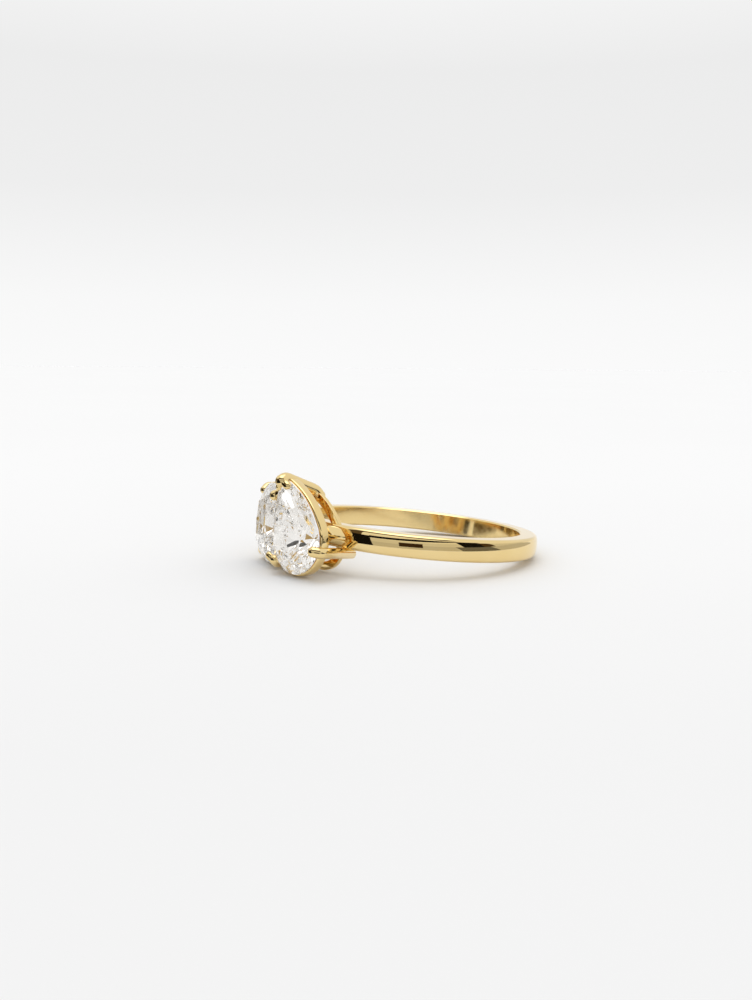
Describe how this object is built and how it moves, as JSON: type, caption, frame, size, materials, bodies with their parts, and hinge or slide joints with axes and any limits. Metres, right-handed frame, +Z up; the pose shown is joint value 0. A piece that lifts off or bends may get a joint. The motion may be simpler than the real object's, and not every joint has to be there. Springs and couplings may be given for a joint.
{
  "type": "toi et moi ring",
  "caption": "Gold finger ring whose head holds a pear-shaped stone and a cushion-shaped stone side by side in claws on a slim domed shank.",
  "frame": {"origin": "centre of the finger hole", "axes": "the ring lies on its side: the head points to -X, the pear stone's side is -Y and +Z is up; the finger hole's axis leans from +Z towards +X by the angle at which the ring rests"},
  "size_m": [0.0232, 0.0198, 0.0076],
  "materials": {
    "polished_gold": "mirror polished yellow gold",
    "pear_diamond": "clear colourless cut stone",
    "cushion_diamond": "clear colourless cut stone"
  },
  "bodies": {
    "root": {"gold_mount": "polished_gold", "pear_stone": "pear_diamond", "cushion_stone": "cushion_diamond"}
  },
  "joints": []
}
